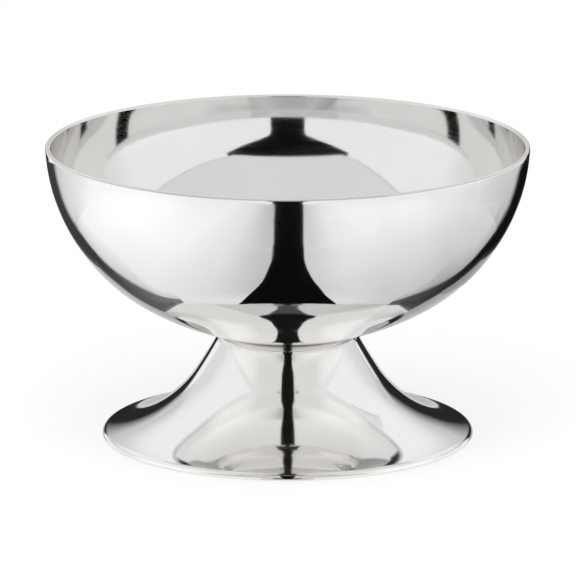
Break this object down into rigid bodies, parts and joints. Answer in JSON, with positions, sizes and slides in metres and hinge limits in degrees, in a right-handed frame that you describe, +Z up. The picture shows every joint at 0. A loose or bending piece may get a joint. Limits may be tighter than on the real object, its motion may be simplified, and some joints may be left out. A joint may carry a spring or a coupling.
{
  "type": "sundae cup",
  "caption": "Footed sundae cup in polished stainless steel: a deep round bowl with a rounded lip on a hollow trumpet foot, for serving ice cream.",
  "frame": {"origin": "middle of the ring that the foot stands on, at table height", "axes": "+Z up along the cup's axis; the cup is round, so X and Y may point any way, and -Y is the side that faces the viewer"},
  "size_m": [0.095, 0.095, 0.0583],
  "materials": {
    "bowl_steel": "mirror-polished stainless steel sheet, bare metal with no plating",
    "foot_steel": "mirror-polished stainless steel sheet, bare metal with no plating",
    "weld_metal": "cast nugget of melted stainless steel, dull, closed in between the two sheets"
  },
  "bodies": {
    "root": {"bowl": "bowl_steel", "foot": "foot_steel", "weld_nuggets": "weld_metal"}
  },
  "joints": []
}
